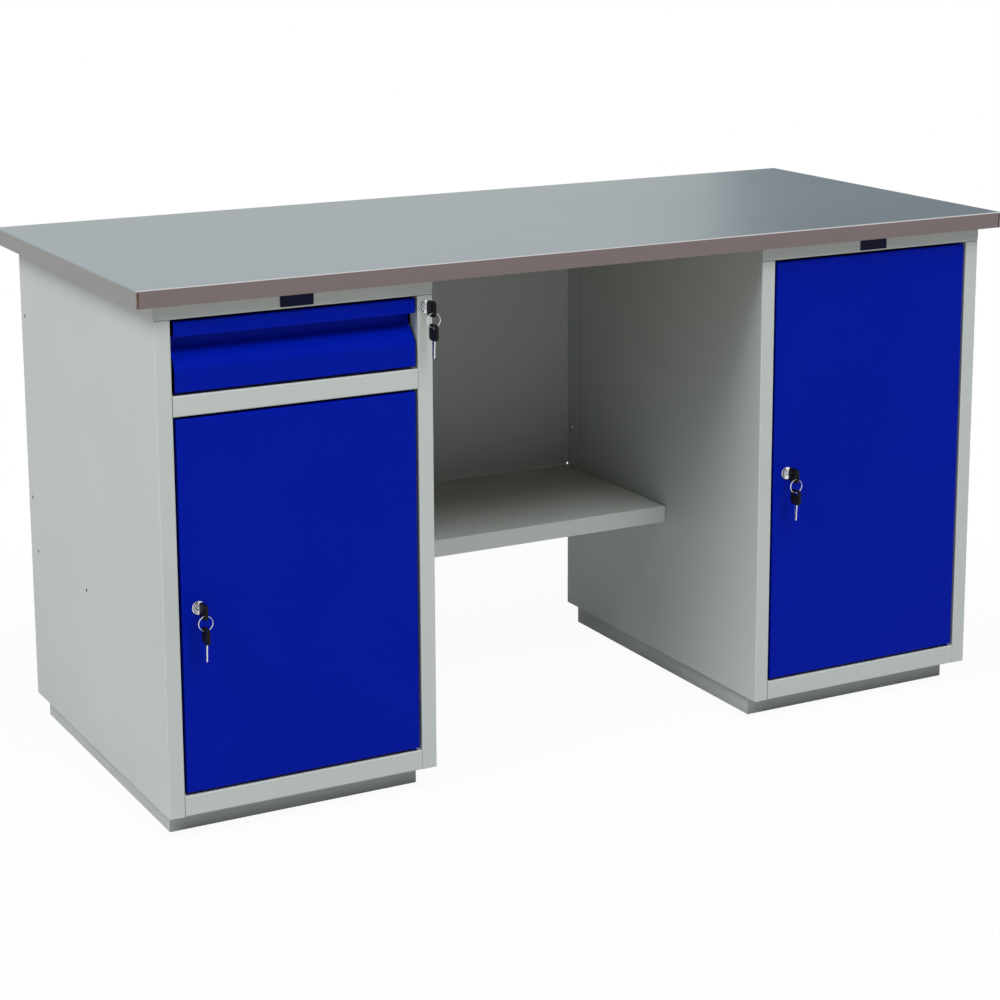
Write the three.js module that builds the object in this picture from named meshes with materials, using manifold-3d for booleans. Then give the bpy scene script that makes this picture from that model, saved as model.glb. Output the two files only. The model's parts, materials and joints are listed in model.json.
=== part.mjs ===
// Steel workbench: a clad worktop on two cabinet pedestals, with a shelf and a back panel between them.
// Millimetres, +X to the right, +Y to the back, +Z up, floor at z = 0.
import * as THREE from "three";
import { mergeVertices } from "three/addons/utils/BufferGeometryUtils.js";
import Module from "manifold-3d";

const wasm = await Module();
wasm.setup();

// Overall sizes
const benchLength = 1600;
const benchDepth = 700;
const benchHeight = 870;
const topThickness = 28;
const sideOverhang = 32;
const frontOverhang = 20;
const pedestalWidth = 458;
const pedestalDepth = 660;
const plinthHeight = 40;

// Sheet and clearances
const sheetThickness = 1.2;
const claddingThickness = 1.5;
const foldRadius = 0.8;
const edgeRadius = 2.2;
const seat = 0.3;
const cornerSeam = 2.4;

// Pedestal front frame
const stileWidth = 26;
const stileReturn = 17;
const topRailHeight = 24;
const midRailHeight = 32;
const bottomRailHeight = 33;
const railReturn = 18;
const backFlange = 18;
const drawerOpening = 116;
const doorGap = 4.5;

// Plinth insets
const plinthSide = 16;
const plinthFront = 46;
const plinthBack = 15;
const plinthFlange = 25;

// Doors and their pivots
const doorDepth = 16;
const pivotInset = 6.5;
const pinRadius = 3;
const pinCollar = 4.8;
const pinClearance = 0.3;
const pinReach = 10.5;
const pinLength = 26;
const lockInset = 26;

// Drawer
const gripTop = 22;
const gripHeight = 43;
const gripDepth = 27;
const gripRise = 18;
const gripBackRadius = 8;
const gripSweepRadius = 14;
const gripLipRadius = 20;
const drawerLength = 530;
const drawerWall = 80;
const catchHeight = 17;
const catchLength = 20;
const drawerFloorRise = 4;
const runnerLength = 520;
const runnerHeight = 32;
const runnerDepth = 12;
const runnerRise = 36;
const runnerClearance = 0.7;
const standoffLength = 20;

// Shelves inside the cabinets
const shelfLip = 25;
const shelfSetback = 60;
const leftShelfRise = 299;
const lowerShelfRise = 192;
const upperShelfDrop = 273;

// Shelf and back panel between the pedestals
const kneeShelfLevel = 323;
const kneeShelfDepth = 360;
const kneeShelfLip = 30;
const kneeShelfCorner = 8;
const kneeClearance = 1.3;
const kneePanelFlange = 42;
const kneeShelfInset = 2;
const kneePanelRelief = 3.5;
const boltRadius = 3;
const boltHole = 3.4;
const boltHead = 5.5;
const boltHeadHeight = 3.5;
const panelBoltInset = 20;
const panelBoltRise = 77;
const panelBoltDrop = 122;
const shelfBoltDrop = 15;
const shelfBoltInsets = [40, 297];

// Locks and keys
const lockFlange = 11;
const lockFlangeDepth = 2.5;
const lockBody = 8;
const lockLength = 20;
const lockNut = 10.4;
const lockNutDepth = 3.5;
const lockHoleClearance = 0.3;
const plugRadius = 5;
const plugClearance = 0.3;
const tailHalf = 2.5;
const camThickness = 2;
const camWidth = 9;
const doorCamReach = 38;
const drawerCamReach = 30;
const drawerLockDrop = 42;
const keyThickness = 2;
const keyHeight = 7;
const keyDepth = 18;
const bowThickness = 5;
const bowNear = 10;
const bowFar = 36;
const bowHalf = 12.5;
const bowCorner = 4.5;
const bowSlotRadius = 3;
const bowSlotHalf = 7.5;
const bowBridge = 3.2;
const ringRadius = 11;
const ringWire = 0.9;
const ringPlay = 1.5;

// Plates on the top rails
const badgeLength = 55;
const badgeHeight = 18;
const badgeDepth = 1.2;
const badgeCorner = 2;

// Worked-out levels and planes
const carcassTop = benchHeight - topThickness;
const carcassBottom = plinthHeight;
const openingTop = carcassTop - topRailHeight;
const openingBottom = carcassBottom + bottomRailHeight;
const midRailTop = openingTop - drawerOpening;
const midRailBottom = midRailTop - midRailHeight;
const worktopFront = -benchDepth / 2;
const front = worktopFront + frontOverhang;
const back = front + pedestalDepth;
const pedestalLeft = -benchLength / 2 + sideOverhang;
const kneeHalf = -pedestalLeft - pedestalWidth;
const half = sheetThickness / 2;
const bowSlot = -bowFar + bowBridge + bowSlotRadius;
const keyOverhang = bowHalf - bowSlot - frontOverhang;
const ringTop = bowSlotRadius - bowSlotHalf - ringPlay;
const camNear = lockLength + 1.3;

// Finishes
const bodyPaint = { color: 0xb8c0b7, roughness: 0.5, metalness: 0.0 };
const bluePaint = { color: 0x061c96, roughness: 0.42, metalness: 0.0 };
const plinthPaint = { color: 0xb8c0b7, roughness: 0.55, metalness: 0.0 };
const topSteel = { color: 0xa4acae, roughness: 0.38, metalness: 0.7 };
const boardWood = { color: 0xa98c66, roughness: 0.8, metalness: 0.0 };
const zincSteel = { color: 0xaeb4b8, roughness: 0.35, metalness: 0.9 };
const chrome = { color: 0xd8dadc, roughness: 0.15, metalness: 1.0 };
const blackPlastic = { color: 0x101010, roughness: 0.4, metalness: 0.0 };
const badgeNavy = { color: 0x0b0b36, roughness: 0.4, metalness: 0.0 };

const axisX = new THREE.Vector3(1, 0, 0);
const axisY = new THREE.Vector3(0, 1, 0);
const axisZ = new THREE.Vector3(0, 0, 1);

// A box between two values on each axis, in either order.
function block(x0, x1, y0, y1, z0, z1) {
  return new THREE.BoxGeometry(Math.abs(x1 - x0), Math.abs(y1 - y0), Math.abs(z1 - z0)).translate(
    (x0 + x1) / 2,
    (y0 + y1) / 2,
    (z0 + z1) / 2,
  );
}

function prism(shape, depth) {
  return new THREE.ExtrudeGeometry(shape, { depth, bevelEnabled: false, curveSegments: 5 });
}

// Prisms of a flat outline: its two coordinates are y,z or x,z or x,y.
function alongX(shape, x0, x1) {
  const turn = new THREE.Matrix4().makeBasis(axisY, axisZ, axisX);
  return prism(shape, x1 - x0).applyMatrix4(turn).translate(x0, 0, 0);
}

function alongY(shape, y0, y1) {
  const turn = new THREE.Matrix4().makeBasis(axisX, axisZ, axisY.clone().negate());
  return prism(shape, y1 - y0).applyMatrix4(turn).translate(0, y1, 0);
}

function alongZ(shape, z0, z1) {
  return prism(shape, z1 - z0).translate(0, 0, z0);
}

// A round bar along Y, X or Z through a centre on the other two axes.
function barY(radius, x, z, y0, y1, sides = 24) {
  return new THREE.CylinderGeometry(radius, radius, y1 - y0, sides).translate(x, (y0 + y1) / 2, z);
}

function barX(radius, y, z, x0, x1, sides = 16) {
  return new THREE.CylinderGeometry(radius, radius, x1 - x0, sides)
    .rotateZ(Math.PI / 2)
    .translate((x0 + x1) / 2, y, z);
}

function barZ(radius, x, y, z0, z1, sides = 20) {
  return new THREE.CylinderGeometry(radius, radius, z1 - z0, sides)
    .rotateX(Math.PI / 2)
    .translate(x, y, (z0 + z1) / 2);
}

// A rectangle with its own radius at each corner, counted round from the low corner.
function roundedRect(u0, u1, v0, v1, radii) {
  const [a, b, c, d] = radii;
  const shape = new THREE.Shape();
  shape.moveTo(u0 + a, v0);
  shape.lineTo(u1 - b, v0);
  if (b) shape.absarc(u1 - b, v0 + b, b, -Math.PI / 2, 0);
  shape.lineTo(u1, v1 - c);
  if (c) shape.absarc(u1 - c, v1 - c, c, 0, Math.PI / 2);
  shape.lineTo(u0 + d, v1);
  if (d) shape.absarc(u0 + d, v1 - d, d, Math.PI / 2, Math.PI);
  shape.lineTo(u0, v0 + a);
  if (a) shape.absarc(u0 + a, v0 + a, a, Math.PI, 1.5 * Math.PI);
  return shape;
}

// The outline of a sheet that follows a folded middle line. A corner is [u, v] or [u, v, inner radius].
function foldedSheet(corners) {
  const points = corners.map(([u, v]) => new THREE.Vector2(u, v));
  const sides = [[], []];
  const add = (point, normal) => {
    sides[0].push(point.clone().addScaledVector(normal, half));
    sides[1].unshift(point.clone().addScaledVector(normal, -half));
  };
  const normalOf = (way) => new THREE.Vector2(-way.y, way.x);
  const wayFrom = (i) => points[i + 1].clone().sub(points[i]).normalize();
  const last = points.length - 1;
  add(points[0], normalOf(wayFrom(0)));
  for (let i = 1; i < last; i += 1) {
    const into = wayFrom(i - 1);
    const out = wayFrom(i);
    const turn = Math.atan2(into.cross(out), into.dot(out));
    const radius = (corners[i][2] ?? foldRadius) + half;
    const start = points[i].clone().addScaledVector(into, -radius * Math.tan(Math.abs(turn) / 2));
    const centre = start.clone().addScaledVector(normalOf(into), radius * Math.sign(turn));
    const steps = Math.max(2, Math.ceil(Math.abs(turn) / 0.4));
    for (let k = 0; k <= steps; k += 1) {
      const angle = (turn * k) / steps;
      const normal = normalOf(into).rotateAround(new THREE.Vector2(), angle);
      add(centre.clone().addScaledVector(normal, -radius * Math.sign(turn)), normal);
    }
  }
  add(points[last], normalOf(wayFrom(last - 1)));
  return new THREE.Shape([...sides[0], ...sides[1]]);
}

// Adding, cutting and intersecting closed pieces.
function solid(geometry) {
  const bare = new THREE.BufferGeometry();
  bare.setAttribute("position", geometry.getAttribute("position"));
  bare.setIndex(geometry.index);
  const merged = mergeVertices(bare, 1e-4);
  const triVerts = new Uint32Array(merged.index.array);
  const vertProperties = merged.attributes.position.array;
  return new wasm.Manifold(new wasm.Mesh({ numProp: 3, vertProperties, triVerts }));
}

function geometryOf(body) {
  const mesh = body.getMesh();
  const geometry = new THREE.BufferGeometry();
  geometry.setAttribute("position", new THREE.BufferAttribute(mesh.vertProperties, 3));
  geometry.setIndex(new THREE.BufferAttribute(mesh.triVerts, 1));
  return geometry;
}

function join(...pieces) {
  return geometryOf(pieces.map(solid).reduce((a, b) => a.add(b)));
}

function cut(piece, ...tools) {
  return geometryOf(tools.map(solid).reduce((a, b) => a.subtract(b), solid(piece)));
}

function common(a, b) {
  return geometryOf(solid(a).intersect(solid(b)));
}

// A sheet pan with its face up and its flanges down, rounded along the folds.
function panFacingUp(x0, x1, y0, y1, z0, z1, thickness, lowCorner = 0) {
  const acrossLength = alongX(roundedRect(y0, y1, z0, z1, [0, 0, edgeRadius, edgeRadius]), x0, x1);
  const corners = [lowCorner, lowCorner, edgeRadius, edgeRadius];
  const acrossDepth = alongY(roundedRect(x0, x1, z0, z1, corners), y0, y1);
  const t = thickness;
  const hollow = block(x0 + t, x1 - t, y0 + t, y1 - t, z0 - 1, z1 - t);
  return cut(common(acrossLength, acrossDepth), hollow);
}

// A sheet pan with its face to the front and its flanges to the back.
function panFacingFront(x0, x1, y0, y1, z0, z1, thickness) {
  const plan = alongZ(roundedRect(x0, x1, y0, y1, [edgeRadius, edgeRadius, 0, 0]), z0, z1);
  const profile = alongX(roundedRect(y0, y1, z0, z1, [edgeRadius, 0, 0, edgeRadius]), x0, x1);
  const t = thickness;
  const hollow = block(x0 + t, x1 - t, y0 + t, y1 + 1, z0 + t, z1 - t);
  return cut(common(plan, profile), hollow);
}

function addPiece(parent, name, geometry, finish) {
  const mesh = new THREE.Mesh(geometry, new THREE.MeshStandardMaterial(finish));
  mesh.name = name;
  parent.add(mesh);
}

function addGroup(parent, x, y, z) {
  const group = new THREE.Group();
  group.position.set(x, y, z);
  parent.add(group);
  return group;
}

// Where the bolts of the shelf and of the back panel go through the pedestal sides.
const panelBoltLevels = [kneeShelfLevel + panelBoltRise, carcassTop - panelBoltDrop];
const boltPlaces = [
  ...panelBoltLevels.map((z) => ({ name: "panel", y: back - panelBoltInset, z })),
  ...shelfBoltInsets.map((inset) => ({
    name: "shelf",
    y: back - inset,
    z: kneeShelfLevel - shelfBoltDrop,
  })),
];

// Worktop: a board under a steel cladding folded down over all four edges.
function addWorktop(parent) {
  const x = benchLength / 2;
  const y0 = worktopFront;
  const y1 = worktopFront + benchDepth;
  const inner = claddingThickness;
  const tray = panFacingUp(-x, x, y0, y1, carcassTop, benchHeight, inner);
  const seams = [];
  for (const side of [-1, 1]) {
    for (const edge of [y0, y1 - inner]) {
      const near = side * (x - inner);
      const seamTop = benchHeight - 2 * edgeRadius;
      seams.push(block(near, near - side * cornerSeam, edge - 1, edge + inner + 1, carcassTop - 1, seamTop));
    }
  }
  addPiece(parent, "worktop_cladding", cut(tray, ...seams), topSteel);
  const gap = inner + seat;
  const board = block(-x + gap, x - gap, y0 + gap, y1 - gap, carcassTop, benchHeight - gap);
  addPiece(parent, "worktop_board", board, boardWood);
}

// Side of a pedestal with its folded stile at the front. The hand is -1 for the left side, 1 for the right.
// Beside a drawer the stile's return is deeper, up to below the cam of the drawer's lock.
function sidePanel(hand, extraHoles, drawerLockLevel) {
  const across = (x) => (hand < 0 ? x : pedestalWidth - x);
  const path = [
    [across(stileWidth - half), front + stileReturn],
    [across(stileWidth - half), front + half],
    [across(half), front + half],
    [across(half), back - half],
    [across(backFlange), back - half],
  ];
  const panel = alongZ(foldedSheet(path), carcassBottom, carcassTop - seat);
  const stileTop = openingTop - seat;
  const faceCut = block(
    across(-1),
    across(stileWidth + 1),
    front - 1,
    front + sheetThickness + seat,
    stileTop,
    carcassTop,
  );
  const returnCut = block(
    across(sheetThickness + seat),
    across(stileWidth + 1),
    front - 1,
    front + railReturn + 2 * seat,
    stileTop,
    carcassTop,
  );
  const holes = boltPlaces.map(({ y, z }) => barX(boltHole, y, z, across(half) - 3, across(half) + 3, 12));
  const plain = cut(panel, faceCut, returnCut, ...holes, ...extraHoles);
  if (!drawerLockLevel) return plain;
  const deepReturn = block(
    across(stileWidth - sheetThickness),
    across(stileWidth),
    front + stileReturn - 1,
    front + gripDepth,
    midRailTop,
    drawerLockLevel - camWidth,
  );
  return join(plain, deepReturn);
}

// The carcass that both pedestals share.
function addCarcass(parent, side) {
  const left = sheetThickness + seat;
  const right = pedestalWidth - left;
  const stileIn = stileWidth + seat;
  const stileOut = pedestalWidth - stileIn;
  const pivotX = pedestalWidth - stileWidth - doorGap - pivotInset;
  const pinHole = (z) =>
    barZ(pinRadius + pinClearance, pivotX, front + pivotInset, z - 3, z + 3);

  const panelBottom = openingBottom + seat;
  const panelTop = carcassTop - seat;
  const backPlate = [
    [back - backFlange - railReturn, panelTop - half],
    [back - sheetThickness - seat - half, panelTop - half],
    [back - sheetThickness - seat - half, panelBottom],
  ];
  addPiece(parent, side + "_back", alongX(foldedSheet(backPlate), left, right), bodyPaint);

  const sill = [
    [front + 2 * railReturn, openingBottom - half],
    [front + half, openingBottom - half],
    [front + half, carcassBottom + half],
    [front + railReturn, carcassBottom + half],
  ];
  const floorFront = front + stileReturn + seat;
  const floorBack = back - sheetThickness - seat;
  const plate = block(left, right, floorFront, floorBack, openingBottom - sheetThickness, openingBottom);
  const rear = block(
    backFlange + seat,
    pedestalWidth - backFlange - seat,
    floorBack - sheetThickness,
    floorBack,
    carcassBottom,
    openingBottom - half,
  );
  const floor = join(alongX(foldedSheet(sill), stileIn, stileOut), plate, rear);
  addPiece(parent, side + "_floor", cut(floor, pinHole(openingBottom)), bodyPaint);

  const rail = [
    [front + railReturn, carcassTop - seat - half],
    [front + half, carcassTop - seat - half],
    [front + half, openingTop + half],
    [front + railReturn, openingTop + half],
  ];
  const face = block(
    0,
    pedestalWidth,
    front,
    front + sheetThickness,
    openingTop + edgeRadius,
    carcassTop - seat - edgeRadius,
  );
  const topRail = join(alongX(foldedSheet(rail), left, right), face);
  addPiece(parent, side + "_top_rail", cut(topRail, pinHole(openingTop)), bodyPaint);

  const x0 = plinthSide;
  const x1 = pedestalWidth - plinthSide;
  const y0 = front + plinthFront;
  const y1 = back - plinthBack;
  const plinthTop = openingBottom - sheetThickness - seat;
  const shell = block(x0, x1, y0, y1, 0, plinthTop);
  const t = claddingThickness;
  const inside = block(x0 + t, x1 - t, y0 + t, y1 - t, t, plinthTop + 1);
  const f = plinthFlange;
  const opening = block(x0 + f, x1 - f, y0 + f, y1 - f, -1, plinthTop);
  addPiece(parent, side + "_plinth", cut(shell, inside, opening), plinthPaint);

  const badge = roundedRect(
    (pedestalWidth - badgeLength) / 2,
    (pedestalWidth + badgeLength) / 2,
    openingTop + (topRailHeight - badgeHeight) / 2,
    openingTop + (topRailHeight + badgeHeight) / 2,
    [badgeCorner, badgeCorner, badgeCorner, badgeCorner],
  );
  const badgeBack = front - seat / 3;
  addPiece(parent, side + "_badge", alongY(badge, badgeBack - badgeDepth, badgeBack), badgeNavy);
}

function addInnerShelf(parent, name, level) {
  const left = sheetThickness + seat;
  const y0 = front + shelfSetback;
  const y1 = back - 2 * sheetThickness - 2 * seat;
  const shelf = panFacingUp(left, pedestalWidth - left, y0, y1, level - shelfLip, level, sheetThickness);
  addPiece(parent, name, shelf, bodyPaint);
}

// The head of a key, in y and z: cut corners, and a slot for the ring.
function keyHeadOutline() {
  const c = bowCorner;
  const head = new THREE.Shape();
  head.moveTo(-bowNear, c - bowHalf);
  head.lineTo(-bowNear, bowHalf - c);
  head.lineTo(-bowNear - c, bowHalf);
  head.lineTo(-bowFar + c, bowHalf);
  head.lineTo(-bowFar, bowHalf - c);
  head.lineTo(-bowFar, c - bowHalf);
  head.lineTo(-bowFar + c, -bowHalf);
  head.lineTo(-bowNear - c, -bowHalf);
  const reach = bowSlotHalf - bowSlotRadius;
  const slot = new THREE.Path();
  slot.moveTo(bowSlot + bowSlotRadius, -reach);
  slot.lineTo(bowSlot + bowSlotRadius, reach);
  slot.absarc(bowSlot, reach, bowSlotRadius, 0, Math.PI);
  slot.lineTo(bowSlot - bowSlotRadius, -reach);
  slot.absarc(bowSlot, -reach, bowSlotRadius, Math.PI, 2 * Math.PI);
  head.holes.push(slot);
  return head;
}

// A key with its blade along +Y, its black head towards -Y and its faces across X.
function keyGeometry() {
  const head = alongX(keyHeadOutline(), -bowThickness / 2, bowThickness / 2);
  const t = keyThickness / 2;
  const h = keyHeight / 2;
  return join(head, block(-t, t, -bowNear - 1, keyDepth, -h, h));
}

// A lock in its own group: the face is at y = 0 and the cam points along camWay (1 up, -1 down).
function addLock(parent, prefix, camWay, camReach) {
  const barrel = join(
    barY(lockFlange, 0, 0, -lockFlangeDepth - seat / 3, -seat / 3, 32),
    barY(lockBody, 0, 0, -1, lockLength),
    barY(lockNut, 0, 0, sheetThickness + seat, sheetThickness + seat + lockNutDepth, 6),
  );
  const bore = barY(plugRadius + plugClearance, 0, 0, -lockFlangeDepth - 1, lockLength + 1);
  addPiece(parent, prefix + "_lock_barrel", cut(barrel, bore), chrome);

  const plugFace = -lockFlangeDepth + 0.4;
  const tailEnd = camNear + camThickness + 1;
  const plug = join(
    barY(plugRadius, 0, 0, plugFace, camNear - seat),
    block(-tailHalf, tailHalf, lockLength, tailEnd, -tailHalf, tailHalf),
  );
  const slotX = keyThickness / 2 + seat;
  const slotZ = keyHeight / 2 + seat;
  const keyway = block(-slotX, slotX, plugFace - 1, keyDepth + seat, -slotZ, slotZ);
  addPiece(parent, prefix + "_lock_plug", cut(plug, keyway), chrome);

  const hub = barY(camWidth * 0.75, 0, 0, camNear, camNear + camThickness);
  const arm = block(-camWidth / 2, camWidth / 2, camNear, camNear + camThickness, 0, camWay * camReach);
  const hole = tailHalf + seat;
  const square = block(-hole, hole, camNear - 1, camNear + camThickness + 1, -hole, hole);
  addPiece(parent, prefix + "_lock_cam", cut(join(hub, arm), square), zincSteel);

  addPiece(parent, prefix + "_key", keyGeometry(), blackPlastic);

  const ring = new THREE.TorusGeometry(ringRadius, ringWire, 8, 28).rotateX(Math.PI / 2);
  addPiece(parent, prefix + "_key_ring", ring.translate(0, bowSlot, ringTop - ringRadius), chrome);
  const spareSlot = ringTop - 2 * ringRadius - ringPlay;
  const spare = keyGeometry().rotateX(-Math.PI / 2).translate(0, bowSlot, spareSlot + bowSlot);
  addPiece(parent, prefix + "_spare_key", spare, blackPlastic);
}

// A flush door with a pivot pin near its right edge, above and below.
function addDoor(parent, side, openingLow, openingHigh) {
  const x0 = stileWidth + doorGap;
  const x1 = pedestalWidth - x0;
  const z0 = openingLow + doorGap;
  const z1 = openingHigh - doorGap;
  const lockX = x0 + lockInset;
  const lockZ = (z0 + z1) / 2;
  const pinX = x1 - pivotInset;
  const pinY = front + pivotInset;
  const holeRadius = pinRadius + pinClearance;
  const pan = panFacingFront(x0, x1, front, front + doorDepth, z0, z1, sheetThickness);
  const lockHole = barY(lockBody + lockHoleClearance, lockX, lockZ, front - 1, front + 3);
  const door = cut(
    pan,
    lockHole,
    barZ(holeRadius, pinX, pinY, z0 - 1, z0 + 3),
    barZ(holeRadius, pinX, pinY, z1 - 3, z1 + 1),
  );
  addPiece(parent, side + "_door", door, bluePaint);

  for (const [end, edge, way] of [["top", z1, 1], ["bottom", z0, -1]]) {
    const tip = edge + way * pinReach;
    const root = tip - way * pinLength;
    const under = edge - way * (sheetThickness + seat);
    const low = Math.min(tip, root);
    const collarLow = Math.min(under, under - way * 3);
    const pin = join(
      barZ(pinRadius, pinX, pinY, low, low + pinLength),
      barZ(pinCollar, pinX, pinY, collarLow, collarLow + 3),
    );
    addPiece(parent, side + "_door_pin_" + end, pin, bluePaint);
  }
  addLock(addGroup(parent, lockX, front, lockZ), side + "_door", -1, doorCamReach);
}

// Drawer front with a finger groove folded into the sheet across its whole width.
function drawerFront() {
  const x0 = stileWidth + doorGap;
  const z0 = midRailTop + doorGap;
  const z1 = openingTop - doorGap;
  const grooveTop = z1 - gripTop;
  const path = [
    [front + doorDepth, z1 - half],
    [front + half, z1 - half],
    [front + half, grooveTop],
    [front + gripDepth, grooveTop, gripBackRadius],
    [front + gripDepth, grooveTop - gripRise, gripSweepRadius],
    [front + half, grooveTop - gripHeight, gripLipRadius],
    [front + half, z0 + half],
    [front + doorDepth, z0 + half],
  ];
  return alongX(foldedSheet(path), x0, pedestalWidth - x0);
}

function addDrawer(parent) {
  addPiece(parent, "drawer_front", drawerFront(), bluePaint);

  const channelOut = stileWidth + seat;
  const channelIn = channelOut + runnerDepth;
  const trayLeft = channelIn + 2;
  const trayFront = front + gripDepth + half + seat;
  const trayBottom = midRailTop + drawerFloorRise + doorGap;
  const shell = block(
    trayLeft,
    pedestalWidth - trayLeft,
    trayFront,
    trayFront + drawerLength,
    trayBottom,
    trayBottom + drawerWall,
  );
  const t = sheetThickness;
  const inside = block(
    trayLeft + t,
    pedestalWidth - trayLeft - t,
    trayFront + t,
    trayFront + drawerLength - t,
    trayBottom + t,
    trayBottom + drawerWall + 1,
  );
  const catchTab = block(
    pedestalWidth - trayLeft,
    pedestalWidth - trayLeft - t,
    trayFront,
    trayFront + catchLength,
    trayBottom,
    trayBottom + drawerWall + catchHeight,
  );
  addPiece(parent, "drawer_tray", join(cut(shell, inside), catchTab), zincSteel);

  const runnerFront = trayFront + seat;
  const runnerBack = runnerFront + runnerLength;
  const z0 = midRailTop + runnerRise;
  const z1 = z0 + runnerHeight;
  for (const [side, hand] of [["left", -1], ["right", 1]]) {
    const across = (x) => (hand < 0 ? x : pedestalWidth - x);
    const channel = [
      [across(channelIn), z1 - half],
      [across(channelOut + half), z1 - half],
      [across(channelOut + half), z0 + half],
      [across(channelIn), z0 + half],
    ];
    const wall = sheetThickness + seat;
    const legs = [runnerFront, runnerBack - standoffLength].map((y) =>
      block(across(wall), across(channelOut + half), y, y + standoffLength, z0 + 6, z1 - 6),
    );
    const runner = join(alongY(foldedSheet(channel), runnerFront, runnerBack), ...legs);
    addPiece(parent, "drawer_runner_" + side, runner, zincSteel);

    const gap = sheetThickness + runnerClearance;
    const slide = [
      [across(channelOut + gap), z1 - gap - half],
      [across(trayLeft - seat - half), z1 - gap - half],
      [across(trayLeft - seat - half), z0 + gap + half],
      [across(channelOut + gap), z0 + gap + half],
    ];
    const rail = alongY(foldedSheet(slide), trayFront, trayFront + runnerLength - 2 * standoffLength);
    addPiece(parent, "drawer_rail_" + side, rail, zincSteel);
  }
}

function addLeftPedestal(bench) {
  const group = addGroup(bench, pedestalLeft, 0, 0);
  const lockX = pedestalWidth - stileWidth / 2;
  const lockZ = carcassTop - drawerLockDrop;
  const lockHole = barY(lockBody + lockHoleClearance, lockX, lockZ, front - 1, front + 3);
  addPiece(group, "left_outer_side", sidePanel(-1, [], lockZ), bodyPaint);
  addPiece(group, "left_inner_side", sidePanel(1, [lockHole], lockZ), bodyPaint);
  addCarcass(group, "left");

  const stileIn = stileWidth + seat;
  const rail = [
    [front + railReturn, midRailTop - half],
    [front + half, midRailTop - half],
    [front + half, midRailBottom + half],
    [front + railReturn, midRailBottom + half],
  ];
  const pinX = pedestalWidth - stileWidth - doorGap - pivotInset;
  const pinHole = barZ(
    pinRadius + pinClearance,
    pinX,
    front + pivotInset,
    midRailBottom - 1,
    midRailBottom + 3,
  );
  const midRail = cut(alongX(foldedSheet(rail), stileIn, pedestalWidth - stileIn), pinHole);
  addPiece(group, "left_mid_rail", midRail, bodyPaint);
  addInnerShelf(group, "left_shelf", openingBottom + leftShelfRise);
  addDoor(group, "left", openingBottom, midRailBottom);
  addDrawer(group);
  addLock(addGroup(group, lockX, front, lockZ), "drawer", 1, drawerCamReach);
}

function addRightPedestal(bench) {
  const group = addGroup(bench, kneeHalf, 0, 0);
  addPiece(group, "right_inner_side", sidePanel(-1, []), bodyPaint);
  addPiece(group, "right_outer_side", sidePanel(1, []), bodyPaint);
  addCarcass(group, "right");
  addInnerShelf(group, "right_shelf_lower", openingBottom + lowerShelfRise);
  addInnerShelf(group, "right_shelf_upper", openingTop - upperShelfDrop);
  addDoor(group, "right", openingBottom, openingTop);
}

// Shelf and back panel bolted between the pedestals.
function addKnee(bench) {
  const x = kneeHalf - kneeClearance;
  const shelfBack = back - kneeShelfInset;
  const holes = boltPlaces.map(({ y, z }) => barX(boltHole, y, z, -kneeHalf - 3, kneeHalf + 3, 12));
  const shelf = panFacingUp(
    -x,
    x,
    shelfBack - kneeShelfDepth,
    shelfBack,
    kneeShelfLevel - kneeShelfLip,
    kneeShelfLevel,
    sheetThickness,
    kneeShelfCorner,
  );
  addPiece(bench, "knee_shelf", cut(shelf, ...holes), bodyPaint);

  const plateBack = shelfBack - edgeRadius;
  const bend = [
    [-x + half, plateBack - kneePanelFlange],
    [-x + half, plateBack - half],
    [x - half, plateBack - half],
    [x - half, plateBack - kneePanelFlange],
  ];
  const panel = alongZ(foldedSheet(bend), kneeShelfLevel + seat, carcassTop - seat);
  const reliefs = [-x + half, x - half].map((fold) =>
    barY(kneePanelRelief, fold, kneeShelfLevel + seat, plateBack - kneePanelRelief, plateBack + 1, 12),
  );
  addPiece(bench, "knee_back_panel", cut(panel, ...holes, ...reliefs), bodyPaint);

  for (const [side, hand] of [["left", -1], ["right", 1]]) {
    boltPlaces.forEach(({ name, y, z }, i) => {
      const headSeat = kneeHalf - kneeClearance - sheetThickness - seat;
      const nutSeat = kneeHalf + seat + sheetThickness;
      const span = (x0, x1) => [Math.min(hand * x0, hand * x1), Math.max(hand * x0, hand * x1)];
      const bolt = join(
        barX(boltRadius, y, z, ...span(headSeat - 1, nutSeat + 5), 12),
        barX(boltHead, y, z, ...span(headSeat - boltHeadHeight, headSeat), 16),
        barX(boltHead, y, z, ...span(nutSeat, nutSeat + 4), 6),
      );
      addPiece(bench, ["knee", name, "bolt", side, (i % 2) + 1].join("_"), bolt, zincSteel);
    });
  }
}

const bench = new THREE.Group();
bench.name = "workbench";
const centred = addGroup(bench, 0, keyOverhang / 2, 0);
addWorktop(centred);
addLeftPedestal(centred);
addRightPedestal(centred);
addKnee(centred);

export default bench;
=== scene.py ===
"""Steel workbench: a clad worktop on two cabinet pedestals, with a shelf and a back panel between them.

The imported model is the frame. Each piece is made here in metres, in the place that the model gives it.
"""

import json
import math

import bmesh
import bpy
from bpy.props import FloatProperty, FloatVectorProperty, IntProperty, PointerProperty
from mathutils import Matrix, Vector


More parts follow.
